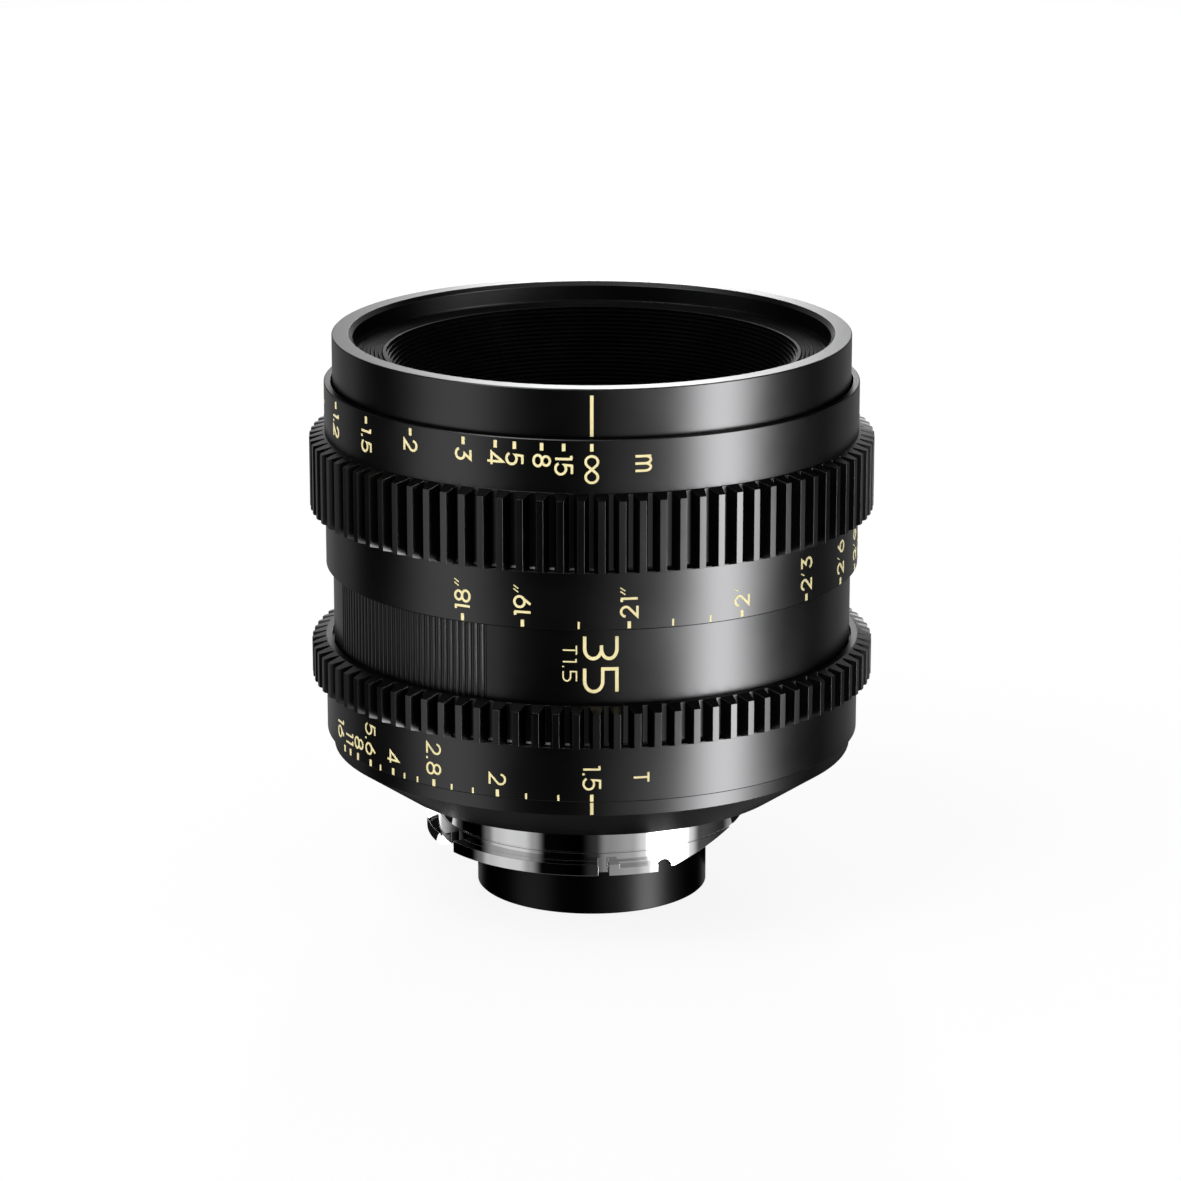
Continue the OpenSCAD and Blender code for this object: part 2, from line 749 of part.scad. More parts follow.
// Bar along the cam: as the ring turns forward the follower climbs
module cam_slot(first) {
    steps = 48;
    inner = sleeve_bore - beyond;
    outer = cam_r + beyond;
    span = focus_throw + 2 * slot_margin_deg;
    corners = [[inner, -slot_half], [outer, -slot_half], [outer, slot_half], [inner, slot_half]];
    points = [for (i = [0:steps], c = corners)
              let (turn = span * i / steps - slot_margin_deg)
              [c[0] * cos(first - turn), c[0] * sin(first - turn),
               follower_z + cam_lead * turn / 360 + c[1]]];
    sides = [for (i = [0:steps - 1], k = [0:3])
             let (a = 4 * i + k, b = 4 * i + (k + 1) % 4)
             each [[a, b + 4, b], [a, a + 4, b + 4]]];
    last = 4 * steps;
    polyhedron(points, concat(sides, [[0, 1, 2], [0, 2, 3]],
                              [[last, last + 2, last + 1], [last, last + 3, last + 2]]));
}

module cam_sleeve() {
    color(bronze)
        difference() {
            ring(sleeve_bore, cam_r, cam_z, cam_top - cam_z);
            cam_slot(0);
            cam_slot(180);
            focus_screw_set(running);
        }
}

module iris_ring() {
    tip = gear_tip_r(iris_r);
    color(anodised)
        difference() {
            union() {
                difference() {
                    rotate_extrude()
                        polygon([
                            [iris_bore, iris_ring_z], [iris_r - edge, iris_ring_z],
                            [iris_r, iris_ring_z + edge], [iris_r, iris_gear_z],
                            [tip, iris_gear_z + gear_bevel], [tip, centre_z - gear_bevel],
                            [iris_r, centre_z], [iris_lip_r, centre_z],
                            [iris_lip_r, iris_counterbore_z], [iris_bore, iris_counterbore_z]]);
                    gear_gaps(iris_r, iris_gear_z, centre_z, iris_gear_phase);
                }
                gear_foot(iris_r, iris_gear_z);
            }
            drive_pin(running);
        }
}

// Radial pin from the iris ring through the barrel to the iris drive
module drive_pin(slack) {
    rotate([0, 0, iris_pin_angle])
        translate([tail_in_r + drive_gap, 0, iris_pin_z])
            rotate([0, 90, 0])
                cylinder(r = iris_pin_r + slack, h = iris_bore + iris_wall / 2 - tail_in_r);
}

module iris_drive_pin() {
    color(steel) drive_pin(0);
}

module front_cell() {
    guide_z = follower_z - guide_below;
    web_z = follower_z - web_t - web_drop;
    lip_top = cell_z + cell_lip_h;
    second_seat = rear_face(0, front_glass_r) - seat;
    doublet_seat = front_face(2, doublet_r) + seat;
    thread_z = front_face(0, front_glass_r) - seat;
    color(anodised)
        difference() {
            union() {
                translate([0, 0, cell_z]) cylinder(r = plate_r, h = foot_t);
                translate([0, 0, cell_z]) cylinder(r = cell_r, h = cell_top - cell_z);
                translate([0, 0, web_z]) cylinder(r = guide_r - weld, h = web_t);
                ring(guide_r - guide_wall, guide_r, guide_z, guide_below + guide_above);
            }
            translate([0, 0, cell_z - beyond])
                cylinder(r = cell_lip_r, h = cell_lip_h + 2 * beyond);
            translate([0, 0, lip_top]) cylinder(r = doublet_r + running, h = cell_top);
            translate([0, 0, doublet_seat]) cylinder(r = second_glass_r + running, h = cell_top);
            translate([0, 0, second_seat]) cylinder(r = front_glass_r + running, h = cell_top);
            translate([0, 0, thread_z])
                cylinder(r = front_glass_r + cell_wall / 2, h = cell_top);
            follower_set(running);
        }
}

module follower_set(slack) {
    around(2)
        translate([guide_r - guide_wall - beyond, 0, follower_z])
            rotate([0, 90, 0])
                cylinder(r = follower_r + slack,
                         h = cam_r - guide_r + guide_wall + beyond - lip_gap);
}

module cam_followers() {
    color(steel) follower_set(0);
}

module front_retainer() {
    inner = front_glass_r - retainer_lip;
    bottom = front_face(0, inner) + seat;
    color(flock)
        rotate_extrude()
            polygon([
                [inner, bottom], [front_glass_r + cell_wall / 2 - running, bottom],
                [front_glass_r + cell_wall / 2 - running, bottom + retainer_t],
                [inner + retainer_edge, bottom + retainer_t], [inner, bottom + retainer_edge]]);
}

module front_spacer() {
    inner = doublet_r + 0.1;
    bottom = front_face(2, doublet_r) + 2 * seat;
    color(flock)
        ring(inner, second_glass_r, bottom, rear_face(1, inner) - seat - bottom);
}

// One lens element as a turned outline with two curved faces
module element(i) {
    steps = 12;
    front = [for (s = [0:steps]) [glass_r(i) * s / steps, front_face(i, glass_r(i) * s / steps)]];
    rear = [for (s = [steps:-1:0]) [glass_r(i) * s / steps, rear_face(i, glass_r(i) * s / steps)]];
    color(glass) rotate_extrude() polygon(concat(front, rear));
}

module rear_cell() {
    color(anodised)
        difference() {
            union() {
                translate([0, 0, rear_cell_z]) cylinder(r = rear_cell_r, h = plate_z - rear_cell_z);
                translate([0, 0, plate_z - rear_flange_t])
                    cylinder(r = rear_flange_r, h = rear_flange_t);
            }
            translate([0, 0, rear_cell_z - beyond])
                cylinder(r = rear_glass_r + running, h = plate_z - rear_cell_z + 2 * beyond);
        }
}

// Ring between two rear elements, as long as the glass leaves room for
module rear_spacer(above) {
    inner = rear_glass_r - spacer_w;
    top = min(rear_face(above, inner), rear_face(above, rear_glass_r)) - seat;
    bottom = max(front_face(above + 1, inner), front_face(above + 1, rear_glass_r)) + seat;
    color(flock) ring(inner, rear_glass_r, bottom, top - bottom);
}

module rear_retainer() {
    inner = rear_glass_r - rear_lip;
    top = min(rear_face(8, inner), rear_face(8, rear_glass_r)) - seat;
    bottom = rear_cell_z + rear_recess;
    color(flock) ring(inner, rear_glass_r, bottom, top - bottom);
}

module iris_base_plate() {
    color(blade_black)
        difference() {
            ring(plate_bore, plate_r, plate_z, plate_t);
            around(blade_count)
                translate([pivot_r, 0, plate_z - beyond])
                    cylinder(r = pin_r + running, h = plate_t + 2 * beyond);
        }
}

// Posts between the base plate and the front cell, clear of the drive ring's tail
module iris_pillars() {
    color(steel)
        for (turn = PILLAR_TURNS)
            rotate([0, 0, iris_pin_angle + turn])
                translate([pillar_pcr, 0, stop_z]) cylinder(r = pillar_r, h = cell_z - stop_z);
}

// Place of a blade's drive pin after a turn of the iris ring, seen from the drive ring
function drive_pin_place(turn) =
    let (swing = arm_start + blade_ratio * turn)
    let (p = [pivot_r + blade_arm * cos(swing), blade_arm * sin(swing)])
    [p[0] * cos(turn) + p[1] * sin(turn), p[1] * cos(turn) - p[0] * sin(turn)];

// Curved slot that a blade's drive pin follows
module drive_slot() {
    steps = 16;
    over = 3;
    half = drive_pin_r + running;
    turns = [for (i = [0:steps]) (iris_throw + 2 * over) * i / steps - over];
    sides = [for (turn = turns)
             let (p = drive_pin_place(turn))
             let (way = drive_pin_place(turn + 0.5) - drive_pin_place(turn - 0.5))
             [p, half * [-way[1], way[0]] / norm(way)]];
    outline = concat([for (s = sides) s[0] + s[1]],
                     [for (i = [steps:-1:0]) sides[i][0] - sides[i][1]]);
    translate([0, 0, drive_z - beyond])
        linear_extrude(drive_t + 2 * beyond) polygon(outline);
}

module iris_drive_ring() {
    color(blade_black)
        difference() {
            union() {
                ring(drive_bore, drive_r, drive_z, drive_t);
                rotate([0, 0, iris_pin_angle]) {
                    translate([drive_r - weld, -tail_w / 2, drive_z])
                        cube([tail_out_r - drive_r + weld, tail_w, drive_t]);
                    translate([tail_in_r, -tail_w / 2, tail_z])
                        cube([tail_out_r - tail_in_r, tail_w, drive_top - tail_z]);
                }
            }
            around(blade_count) drive_slot();
            // axial slot that lets the block slide past the iris drive pin
            rotate([0, 0, iris_pin_angle])
                translate([tail_in_r - beyond, -iris_pin_r - running, tail_z - beyond])
                    cube([tail_t + 2 * beyond, 2 * (iris_pin_r + running),
                          iris_pin_z + 2 * iris_pin_r - tail_z + beyond]);
        }
}

// Crescent blade on its own level: pivot pin below, drive pin above
module iris_blade(i) {
    level = stop_z + blade_gap + i * blade_pitch;
    color(blade_black)
        rotate([0, 0, 360 * i / blade_count]) {
            rotate([0, 0, -blade_root])
                rotate_extrude(angle = blade_span + blade_root)
                    translate([aperture_r, level]) square([blade_w, blade_t]);
            translate([pivot_r, 0, level]) {
                cylinder(r = 3 * pin_r, h = blade_t);
                rotate([0, 0, arm_start]) {
                    translate([0, -2 * drive_pin_r, 0]) cube([blade_arm, 4 * drive_pin_r, blade_t]);
                    translate([blade_arm, 0, 0]) {
                        cylinder(r = 2.5 * drive_pin_r, h = blade_t);
                        cylinder(r = drive_pin_r, h = drive_top - level - drive_gap);
                    }
                }
            }
            translate([pivot_r, 0, plate_z + drive_gap])
                cylinder(r = pin_r, h = level + blade_t - plate_z - drive_gap);
        }
}

front_ring();
front_ring_screws();
front_baffle();
main_barrel();
centre_sleeve();
front_slip_ring();
rear_slip_ring();
iris_slip_ring();
rear_barrel();
barrel_screws();
bayonet_mount();
mount_screws();
rear_guard();
alignment_bead();
focus_ring();
focus_ring_screws();
cam_sleeve();
iris_ring();
iris_drive_pin();
front_cell();
cam_followers();
front_retainer();
front_spacer();
iris_base_plate();
iris_pillars();
iris_drive_ring();
rear_cell();
rear_spacer(5);  // rear_spacer_1
rear_spacer(6);  // rear_spacer_2
rear_spacer(7);  // rear_spacer_3
rear_retainer();
for (i = [0:8])
    element(i);
for (i = [0:blade_count - 1])
    iris_blade(i);
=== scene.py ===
"""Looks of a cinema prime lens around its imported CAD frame: camera, light, finishes and scale marks."""
import math

import bmesh
import bpy
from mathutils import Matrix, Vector


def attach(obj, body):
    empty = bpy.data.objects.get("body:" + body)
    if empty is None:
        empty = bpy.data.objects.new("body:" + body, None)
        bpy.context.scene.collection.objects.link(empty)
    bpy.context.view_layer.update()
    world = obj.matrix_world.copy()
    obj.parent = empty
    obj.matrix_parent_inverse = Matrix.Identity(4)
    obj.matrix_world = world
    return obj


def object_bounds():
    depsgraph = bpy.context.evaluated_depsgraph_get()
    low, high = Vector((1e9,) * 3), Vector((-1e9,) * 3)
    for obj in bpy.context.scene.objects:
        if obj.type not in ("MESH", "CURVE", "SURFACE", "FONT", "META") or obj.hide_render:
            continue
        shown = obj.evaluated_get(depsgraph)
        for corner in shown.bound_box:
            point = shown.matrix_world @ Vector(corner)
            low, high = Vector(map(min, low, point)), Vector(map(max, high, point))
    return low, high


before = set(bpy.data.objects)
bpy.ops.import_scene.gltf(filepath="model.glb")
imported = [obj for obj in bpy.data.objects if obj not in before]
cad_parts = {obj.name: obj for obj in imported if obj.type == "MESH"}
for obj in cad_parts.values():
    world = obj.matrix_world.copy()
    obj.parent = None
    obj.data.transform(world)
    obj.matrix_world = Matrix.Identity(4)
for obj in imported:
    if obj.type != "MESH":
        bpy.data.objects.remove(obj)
cad_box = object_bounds()
scene = bpy.context.scene
MM = 0.001

# Camera at the photograph's viewing angle
SENSOR_MM = 36
FRAME_PX = 1181
FOCAL_PX = 4621.5
CAMERA_ELEVATION = math.radians(15.552)
CAMERA_DISTANCE = 608.04 * MM
AIM_HEIGHT = 25.25 * MM
AXIS_OFFSET_PX = 1.3
CLIP_NEAR = 0.01
CLIP_FAR = 20

camera_data = bpy.data.cameras.new("camera")
camera_data.sensor_width = SENSOR_MM
camera_data.lens = SENSOR_MM * FOCAL_PX / FRAME_PX
camera_data.shift_x = -AXIS_OFFSET_PX / FRAME_PX
camera_data.clip_start = CLIP_NEAR
camera_data.clip_end = CLIP_FAR
camera = bpy.data.objects.new("camera", camera_data)
aim = Vector((0, 0, AIM_HEIGHT))
back = Vector((0, -math.cos(CAMERA_ELEVATION), math.sin(CAMERA_ELEVATION)))
camera.location = aim + back * CAMERA_DISTANCE
camera.rotation_mode = "QUATERNION"
camera.rotation_quaternion = (-back).to_track_quat("-Z", "Y")
scene.collection.objects.link(camera)
scene.camera = camera
scene.view_settings.view_transform = "Standard"

floor_height = cad_box[0].z


# Node helpers

# Values that noise seldom leaves
NOISE_LOW = 0.3
NOISE_HIGH = 0.7
EDGE_SAMPLES = 6


def new_material(name):
    """A material with an empty node tree and its output."""
    material = bpy.data.materials.new(name)
    material.use_nodes = True
    material.node_tree.nodes.clear()
    output = material.node_tree.nodes.new("ShaderNodeOutputMaterial")
    return material, material.node_tree, output


def add(tree, kind, **sockets):
    """A node of that kind with constant values on its sockets."""
    node = tree.nodes.new(kind)
    for name, value in sockets.items():
        node.inputs[name.replace("_", " ")].default_value = value
    return node


def noise(tree, place, scale, detail):
    texture = add(tree, "ShaderNodeTexNoise", Scale=scale, Detail=detail)
    tree.links.new(place.outputs["Object"], texture.inputs["Vector"])
    return texture.outputs["Fac"]


def remap(tree, value, low, high, from_low=NOISE_LOW, from_high=NOISE_HIGH):
    node = add(tree, "ShaderNodeMapRange", From_Min=from_low, From_Max=from_high,
               To_Min=low, To_Max=high)
    tree.links.new(value, node.inputs["Value"])
    return node.outputs["Result"]


def colour_between(tree, value, dark, light):
    ramp = tree.nodes.new("ShaderNodeValToRGB")
    ramp.color_ramp.elements[0].color = (*dark, 1)
    ramp.color_ramp.elements[0].position = NOISE_LOW
    ramp.color_ramp.elements[1].color = (*light, 1)
    ramp.color_ramp.elements[1].position = NOISE_HIGH
    tree.links.new(value, ramp.inputs["Fac"])
    return ramp.outputs["Color"]


def finish_material(name, dark, light, rough, grain_mm, grain_depth_mm,
                    edge_mm=0.0, cloud_mm=9.0, **sockets):
    """A surface with colour clouds, uneven gloss, a fine grain and softened edges."""
    material, tree, output = new_material(name)
    place = tree.nodes.new("ShaderNodeTexCoord")
    surface = add(tree, "ShaderNodeBsdfPrincipled", **sockets)
    clouds = noise(tree, place, 1 / (cloud_mm * MM), 4.0)
    grain = noise(tree, place, 1 / (grain_mm * MM), 1.0)
    tree.links.new(colour_between(tree, clouds, dark, light), surface.inputs["Base Color"])
    tree.links.new(remap(tree, clouds, rough[0], rough[1]), surface.inputs["Roughness"])
    bump = add(tree, "ShaderNodeBump", Strength=1.0, Distance=grain_depth_mm * MM)
    tree.links.new(grain, bump.inputs["Height"])
    if edge_mm:
        edge = add(tree, "ShaderNodeBevel", Radius=edge_mm * MM)
        edge.samples = EDGE_SAMPLES
        tree.links.new(edge.outputs["Normal"], bump.inputs["Normal"])
    tree.links.new(bump.outputs["Normal"], surface.inputs["Normal"])
    tree.links.new(surface.outputs["BSDF"], output.inputs["Surface"])
    return material


# Finishes

SHEEN_EDGE = (0.38, 0.38, 0.38, 1)
MATT_EDGE = (0.5, 0.5, 0.5, 1)
black_anodised = finish_material(
    "black_anodised", (0.055, 0.055, 0.056), (0.062, 0.062, 0.063), (0.28, 0.32),
    grain_mm=0.16, grain_depth_mm=0.0012, edge_mm=0.07, Metallic=1.0, Specular_Tint=SHEEN_EDGE)
# Black anodising darkened for the rear guard: painted shade, for the shadowed floor that the low guard
# mirrors
rear_black_painted_shade = finish_material(
    "rear_black_painted_shade", (0.012, 0.012, 0.012), (0.015, 0.015, 0.015), (0.28, 0.32),
    grain_mm=0.16, grain_depth_mm=0.0012, edge_mm=0.07, Metallic=1.0, Specular_Tint=SHEEN_EDGE)
matt_black = finish_material(
    "matt_black", (0.009, 0.009, 0.009), (0.013, 0.013, 0.013), (0.5, 0.62),
    grain_mm=0.12, grain_depth_mm=0.002, edge_mm=0.04, Metallic=1.0, Specular_Tint=MATT_EDGE)
chrome = finish_material(
    "chrome", (0.53, 0.53, 0.54), (0.57, 0.57, 0.57), (0.03, 0.05),
    grain_mm=0.5, grain_depth_mm=0.0002, edge_mm=0.06, Metallic=1.0)
steel = finish_material(
    "steel", (0.42, 0.42, 0.43), (0.52, 0.52, 0.53), (0.24, 0.34),
    grain_mm=0.1, grain_depth_mm=0.0015, edge_mm=0.04, cloud_mm=2.0, Metallic=1.0)
bronze = finish_material(
    "bronze", (0.42, 0.27, 0.1), (0.55, 0.37, 0.16), (0.28, 0.4),
    grain_mm=0.15, grain_depth_mm=0.0015, edge_mm=0.05, Metallic=1.0)
blackened_steel = finish_material(
    "blackened_steel", (0.02, 0.02, 0.022), (0.032, 0.032, 0.034), (0.36, 0.46),
    grain_mm=0.1, grain_depth_mm=0.0012, cloud_mm=3.0, Metallic=0.8)
bead_enamel = finish_material(
    "bead_enamel", (0.012, 0.012, 0.012), (0.016, 0.016, 0.016), (0.12, 0.18),
    grain_mm=0.3, grain_depth_mm=0.0008)
scale_paint = finish_material(
    "scale_paint", (0.68, 0.59, 0.3), (0.76, 0.67, 0.37), (0.4, 0.5),
    grain_mm=0.09, grain_depth_mm=0.0025, cloud_mm=1.2)


HAZE_SCALE = 60.0


def coated_glass():
    """Clear glass with a thin coating whose tint shifts with the angle."""
    material, tree, output = new_material("coated_glass")
    place = tree.nodes.new("ShaderNodeTexCoord")
    surface = add(tree, "ShaderNodeBsdfPrincipled", IOR=1.62, Transmission_Weight=1.0,
                  Thin_Film_Thickness=310.0, Thin_Film_IOR=1.38)
    haze = noise(tree, place, HAZE_SCALE, 3.0)
    tree.links.new(colour_between(tree, haze, (0.95, 0.97, 0.96), (0.99, 0.99, 0.98)),
                   surface.inputs["Base Color"])
    tree.links.new(remap(tree, haze, 0.0, 0.012), surface.inputs["Roughness"])
    tree.links.new(surface.outputs["BSDF"], output.inputs["Surface"])
    return material


glass = coated_glass()

NODE_FINISHES = {
    "front_baffle": matt_black, "front_retainer": matt_black, "front_spacer": matt_black,
    "rear_retainer": matt_black, "rear_spacer_1": matt_black, "rear_spacer_2": matt_black,
    "rear_spacer_3": matt_black,
    # The rear guard takes the darkened black, a painted shade
    "bayonet_mount": chrome, "rear_guard": rear_black_painted_shade,
    "front_ring_screws": steel, "barrel_screws": steel, "mount_screws": steel,
    "focus_ring_screws": steel, "cam_followers": steel, "iris_pillars": steel, "iris_drive_pin": steel,
    "front_slip_ring": bronze, "rear_slip_ring": bronze, "iris_slip_ring": bronze, "cam_sleeve": bronze,
    "iris_base_plate": blackened_steel, "iris_drive_ring": blackened_steel,
    "alignment_bead": bead_enamel,
}
for name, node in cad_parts.items():
    if name.startswith("element_"):
        finish = glass
    elif name.startswith("iris_blade_"):
        finish = blackened_steel
    else:
        finish = NODE_FINISHES.get(name, black_anodised)
    node.data.materials.clear()
    node.data.materials.append(finish)


# Stroke letters: centre lines in a box of one by one

def arc(centre, radii, start, end, steps=14):
    """Points on an ellipse from one angle to another, in degrees."""
    turns = [math.radians(start + (end - start) * i / steps) for i in range(steps + 1)]
    return [(centre[0] + radii[0] * math.cos(t), centre[1] + radii[1] * math.sin(t)) for t in turns]


def oval(centre, radii):
    """A closed ring; its first point isn't repeated."""
    return arc(centre, radii, 90, 450, 28)[:-1]


def infinity():
    """Two round loops joined by straight lines that touch both and cross in the middle."""
    loop = (0.213, 0.37)
    reach = 0.5 - loop[0]
    touch = math.degrees(math.acos(loop[0] / reach))
    right = arc((0.5 + reach, 0.5), loop, 180 - touch, touch - 180, 24)
    left = arc((0.5 - reach, 0.5), loop, touch, 360 - touch, 24)
    return right + left


# Each letter: width for a height of one, then its lines; a line that starts with True is closed
LETTERS = {
    "0": (0.72, [(True, oval((0.5, 0.5), (0.5, 0.5)))]),
    "1": (0.31, [(False, [(1.0, 1.0), (1.0, 0.0)]), (False, [(0.0, 0.95), (0.9, 0.98)])]),
    "2": (0.7, [(False, arc((0.49, 0.7), (0.47, 0.3), 172, -32) + [(0.0, 0.0), (1.0, 0.0)])]),
    "3": (0.68, [(False, [(0.06, 1.0), (0.94, 1.0), (0.44, 0.6)]
                 + arc((0.48, 0.3), (0.52, 0.3), 78, -158))]),
    "4": (0.78, [(False, [(0.74, 0.0), (0.74, 1.0), (0.0, 0.26), (1.0, 0.26)])]),
    "5": (0.7, [(False, [(0.92, 1.0), (0.16, 1.0), (0.08, 0.54)]
                 + arc((0.46, 0.32), (0.54, 0.32), 132, -152))]),
    "6": (0.72, [(True, oval((0.5, 0.32), (0.5, 0.32))), (False, [(0.7, 1.0), (0.07, 0.46)])]),
    "7": (0.68, [(False, [(0.0, 1.0), (1.0, 1.0), (0.36, 0.0)])]),
    "8": (0.73, [(True, oval((0.5, 0.76), (0.41, 0.24))), (True, oval((0.5, 0.26), (0.5, 0.26)))]),
    "9": (0.72, [(True, oval((0.5, 0.68), (0.5, 0.32))), (False, [(0.3, 0.0), (0.93, 0.54)])]),
    "T": (0.7, [(False, [(0.0, 1.0), (1.0, 1.0)]), (False, [(0.5, 0.9), (0.5, 0.0)])]),
    "m": (0.98, [(False, [(0.0, 0.0), (0.0, 1.0)]),
                 (False, arc((0.25, 0.62), (0.25, 0.38), 170, 0) + [(0.5, 0.0)]),
                 (False, arc((0.75, 0.62), (0.25, 0.38), 180, 0) + [(1.0, 0.0)])]),
    ".": (0.17, [(False, [(0.5, 0.0), (0.5, 0.001)])]),
    "'": (0.24, [(False, [(0.9, 1.0), (0.1, 0.74)])]),
    "\"": (0.44, [(False, [(0.45, 1.0), (0.0, 0.74)]), (False, [(1.0, 1.0), (0.55, 0.74)])]),
    "~": (1.55, [(True, infinity())]),
    "wide3": (0.74, [(False, [(0.0, 1.0)] + arc((0.55, 0.76), (0.45, 0.24), 90, -90) + [(0.4, 0.52)]),
                     (False, arc((0.55, 0.26), (0.45, 0.26), 80, -90) + [(0.0, 0.0)])]),
    "wide5": (0.76, [(False, [(1.0, 1.0), (0.0, 1.0), (0.0, 0.56)]
                      + arc((0.55, 0.28), (0.45, 0.28), 90, -90) + [(0.0, 0.0)])]),
}
LETTER_GAP = 0.11
WIDE_GAP = 0.19
INCH_WEIGHT = 0.55
DOT_REACH = 0.3

# Raised paint: height over the metal, depth in it, width of the sloping edge, longest straight step
PAINT_H = 0.05
PAINT_SUNK = 0.03
PAINT_EDGE = 0.06
PAINT_STEP = 0.45
# Strokes that cross lie on different layers
LAYERS = 3
LAYER_STEP = 0.004
# Sharper corners than this lean are cut off
LEAN_LIMIT = 0.45
TINY = 1e-6


def split_long(points, closed):
    """Adds points so that no step is too long to follow the barrel's curve."""
    ends = points[1:] + points[:1] if closed else points[1:]
    split = []
    for a, b in zip(points, ends):
        count = max(1, math.ceil(math.dist(a, b) / PAINT_STEP))
        split += [(a[0] + (b[0] - a[0]) * i / count, a[1] + (b[1] - a[1]) * i / count)
                  for i in range(count)]
    return split if closed else split + [points[-1]]


def unit(a, b):
    length = math.dist(a, b) or 1.0
    return (b[0] - a[0]) / length, (b[1] - a[1]) / length


def side_steps(points, closed):
    """For each point, the sideways step that keeps the stroke's width through its corners."""
    steps = []
    count = len(points)
    for i, here in enumerate(points):
        before = points[i - 1] if closed or i else None
        after = points[(i + 1) % count] if closed or i < count - 1 else None
        way_in = unit(before, here) if before else unit(here, after)
        way_out = unit(here, after) if after else way_in
        across = Vector((-way_in[1] - way_out[1], way_in[0] + way_out[0]))
        if across.length < TINY:
            across = Vector((-way_in[1], way_in[0]))
        across.normalize()
        lean = across.x * -way_in[1] + across.y * way_in[0]
        steps.append(across / max(lean, LEAN_LIMIT))
    return steps


class Marks:
    """Raised paint marks that are wrapped round a cylinder and made into one mesh."""

    def __init__(self, radius):
        self.radius = radius
        self.mesh = bmesh.new()
        self.layer = 0

    def place(self, point, height):
        angle = point[0] / self.radius
        reach = self.radius + height
        spot = (reach * math.sin(angle), -reach * math.cos(angle), point[1])
        return self.mesh.verts.new([MM * value for value in spot])

    def stroke(self, points, width, closed=False):
        """One line of paint along the points, given as arc length and height in millimetres."""
        half = width / 2
        top = PAINT_H + LAYER_STEP * (self.layer % LAYERS)
        self.layer += 1
        points = split_long(points, closed)
        sides = side_steps(points, closed)
        offsets = (half, half - PAINT_EDGE, PAINT_EDGE - half, -half)
        rings = []
        for i, (point, side) in enumerate(zip(points, sides)):
            rise = LAYER_STEP * i / len(points) if closed else 0
            heights = (-PAINT_SUNK, top + rise, top + rise, -PAINT_SUNK)
            rings.append([self.place((point[0] + side.x * o, point[1] + side.y * o), h)
                          for o, h in zip(offsets, heights)])
        if not closed:
            rings = [self.end(points[0], points[1], offsets)] + rings
            rings.append(self.end(points[-1], points[-2], [-o for o in offsets]))
        corners = len(offsets)
        for a, b in zip(rings, rings[1:] + rings[:1] if closed else rings[1:]):
            for k in range(corners):
                after = (k + 1) % corners
                self.mesh.faces.new((a[k], a[after], b[after], b[k]))
        if not closed:
            self.mesh.faces.new(rings[0])
            self.mesh.faces.new(rings[-1][::-1])

    def end(self, tip, inner, offsets):
        """The sloping end of a line."""
        way = unit(inner, tip)
        side = (way[1], -way[0])
        spot = (tip[0] + way[0] * PAINT_EDGE, tip[1] + way[1] * PAINT_EDGE)
        return [self.place((spot[0] + side[0] * o, spot[1] + side[1] * o), -PAINT_SUNK)
                for o in offsets]

    def tick(self, mark, low, high, width):
        """A straight line along the barrel at a mark angle."""
        across = math.radians(mark) * self.radius
        self.stroke([(across, low + PAINT_EDGE), (across, high - PAINT_EDGE)], width)

    def word(self, letters, mark, start, height, weight, down=True, gap=LETTER_GAP):
        """Letters along the barrel from a height, read downwards with tops to the right, or upwards."""
        way = 1 if down else -1
        middle = math.radians(mark) * self.radius
        pen = 0.0
        for letter in letters:
            share, lines = LETTERS[letter]
            room = share * height
            width = weight * INCH_WEIGHT if letter in "'\"" else weight
            for closed, line in lines:
                spots = []
                for x, y in line:
                    along = pen + width / 2 + x * (room - width)
                    over = width / 2 + y * (height - width) - height / 2
                    spots.append((middle + way * over, start - way * along))
                if letter == ".":
                    dot, drop = spots[0]
                    spots = [(dot - width * DOT_REACH, drop), (dot + width * DOT_REACH, drop)]
                self.stroke(spots, width, closed)
            pen += room + gap * height

    def make(self, name, body):
        bmesh.ops.recalc_face_normals(self.mesh, faces=self.mesh.faces)
        data = bpy.data.meshes.new(name)
        self.mesh.to_mesh(data)
        self.mesh.free()
        data.materials.append(scale_paint)
        piece = bpy.data.objects.new(name, data)
        scene.collection.objects.link(piece)
        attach(piece, body)


def word_length(letters, height):
    rooms = [LETTERS[letter][0] * height for letter in letters]
    return sum(rooms) + LETTER_GAP * height * (len(letters) - 1)


# Radii of the barrel's bands and widths of the ticks, in millimetres
FRONT_R = 33.7
FOCUS_R = 34.8
CENTRE_R = 33.89
IRIS_R = 34.95
REAR_R = 34.06
MAJOR_W = 0.48
MINOR_W = 0.3

# Distance scale in metres on the upper part of the focus ring
METRES = {"~": 0, "15": -5.7, "8": -10.2, "5": -15.9, "4": -20.0, "3": -27.2, "2": -40.5, "1.5": -54.7,
          "1.2": -69.6, "1": -84.9, "0.9": -95.3, "0.8": -108.7, "0.7": -126.4, "0.6": -151.1,
          "0.5": -187.7, "0.45": -213.5}
METRE_H = 2.4
METRE_W = 0.36
METRE_TICK = (52.6, 53.6)
METRE_TOP = 52.2
METRE_UNIT_MARK = 10.5
METRE_UNIT_TOP = 52.1
METRE_UNIT_H = METRE_H * 0.94
metre_marks = Marks(FOCUS_R)
for label, mark in METRES.items():
    metre_marks.tick(mark, *METRE_TICK, MAJOR_W)
    metre_marks.word(label, mark, METRE_TOP, METRE_H, METRE_W)
metre_marks.word("m", METRE_UNIT_MARK, METRE_UNIT_TOP, METRE_UNIT_H, METRE_W)
metre_marks.make("metre_scale", "focus")

